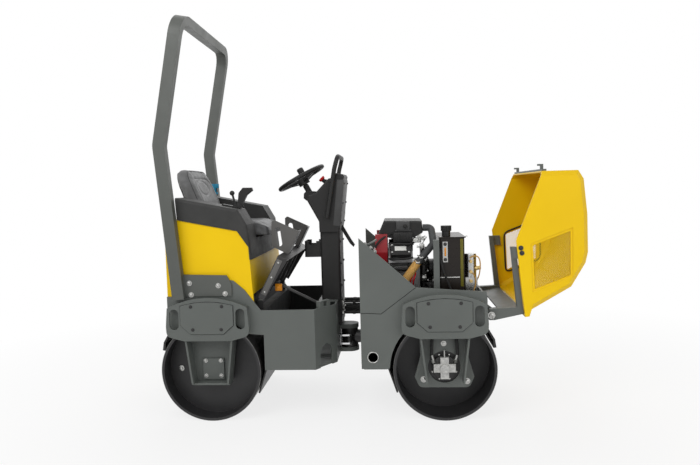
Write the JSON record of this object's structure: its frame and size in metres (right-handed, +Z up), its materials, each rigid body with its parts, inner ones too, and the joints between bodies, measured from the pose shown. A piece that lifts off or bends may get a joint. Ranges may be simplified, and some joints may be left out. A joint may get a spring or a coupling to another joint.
{
  "type": "road roller",
  "caption": "Ride-on tandem road roller with a smooth drum at each end, a centre joint, a roll-over hoop, a tipped-open engine hood and a raised floor plate.",
  "frame": {"origin": "on the ground, at the middle of the overall length and width", "axes": "+X forward, +Y to the driver's left, +Z up"},
  "size_m": [2.34, 0.98, 2.2446],
  "materials": {
    "frame_grey": "satin",
    "body_yellow": "gloss",
    "dark_plastic": "matte",
    "seat_vinyl": "matte",
    "drum_steel": "worn",
    "black_steel": "satin",
    "bare_steel": "satin",
    "engine_alloy": "cast",
    "fan_red": "satin",
    "hose_rubber": "matte",
    "wheel_black": "matte"
  },
  "bodies": {
    "rear_frame": {"rear_chassis": "frame_grey", "rear_arches": "frame_grey", "rear_arch_covers": "frame_grey", "rear_arms": "frame_grey", "rear_axle_stubs": "bare_steel", "tank_body": "body_yellow", "seat_surround": "dark_plastic", "seat_base": "dark_plastic", "seat_cushion": "seat_vinyl", "seat_back": "seat_vinyl", "rops_hoop": "frame_grey", "control_levers": "dark_plastic", "steering_tower": "dark_plastic", "dash_console": "dark_plastic", "grab_rail": "black_steel", "tool_bin": "dark_plastic", "steering_cylinder": "black_steel", "rear_scrapers": "black_steel", "joint_hoses": "hose_rubber"},
    "rear_drum": {"rear_drum": "drum_steel"},
    "floor": {"floor_plate": "dark_plastic", "foot_guards": "dark_plastic", "floor_stay": "black_steel"},
    "steering_wheel": {"steering_wheel": "wheel_black"},
    "steering_rod": {"steering_rod": "bare_steel"},
    "centre_yoke": {"centre_yoke": "black_steel"},
    "front_frame": {"front_chassis": "frame_grey", "front_side_walls": "frame_grey", "front_side_panels": "frame_grey", "front_arches": "frame_grey", "front_arch_covers": "frame_grey", "front_arms": "frame_grey", "drum_motors": "bare_steel", "engine_block": "engine_alloy", "rocker_covers": "black_steel", "fan_housing": "fan_red", "air_cleaner": "dark_plastic", "air_hose": "hose_rubber", "hydraulic_tank": "black_steel", "tank_cap": "dark_plastic", "sight_gauge": "bare_steel", "muffler": "black_steel", "oil_filter": "bare_steel", "front_scrapers": "black_steel"},
    "front_drum": {"front_drum": "drum_steel"},
    "hood": {"hood_shell": "body_yellow", "hood_grilles": "body_yellow", "hood_frame": "frame_grey", "hood_latch": "frame_grey"}
  },
  "joints": [
    {"name": "steering", "type": "hinge", "parent": "rear_frame", "child": "centre_yoke", "pos_m": [-0.145, 0, 0.368], "axis": [0, 0, 1], "range_deg": [-28, 28], "deforming": ["joint_hoses"]},
    {"name": "oscillation", "type": "hinge", "parent": "centre_yoke", "child": "front_frame", "pos_m": [0.005, 0, 0.368], "axis": [1, 0, 0], "range_deg": [-8, 8], "deforming": ["joint_hoses"]},
    {"name": "rear_drum_spin", "type": "hinge", "parent": "rear_frame", "child": "rear_drum", "pos_m": [-0.89, 0, 0.28], "axis": [0, 1, 0], "continuous": true},
    {"name": "front_drum_spin", "type": "hinge", "parent": "front_frame", "child": "front_drum", "pos_m": [0.4, 0, 0.28], "axis": [0, 1, 0], "continuous": true},
    {"name": "hood_tilt", "type": "hinge", "parent": "front_frame", "child": "hood", "pos_m": [0.655, 0, 0.57], "axis": [0, -1, 0], "range_deg": [0, 78]},
    {"name": "floor_fold", "type": "hinge", "parent": "rear_frame", "child": "floor", "pos_m": [-0.618, 0, 0.652], "axis": [0, 1, 0], "range_deg": [0, 63]},
    {"name": "steering_wheel_turn", "type": "hinge", "parent": "rear_frame", "child": "steering_wheel", "pos_m": [-0.416, 0, 1.345], "axis": [-0.4695, 0, 0.8829], "continuous": true},
    {"name": "steering_rod_slide", "type": "slide", "parent": "rear_frame", "child": "steering_rod", "axis": [1, 0, 0], "range_m": [-0.0395, 0.0395]}
  ],
  "couplings": [
    {"joint": "steering_rod_slide", "follows": "steering", "m_per_rad": 0.08}
  ]
}
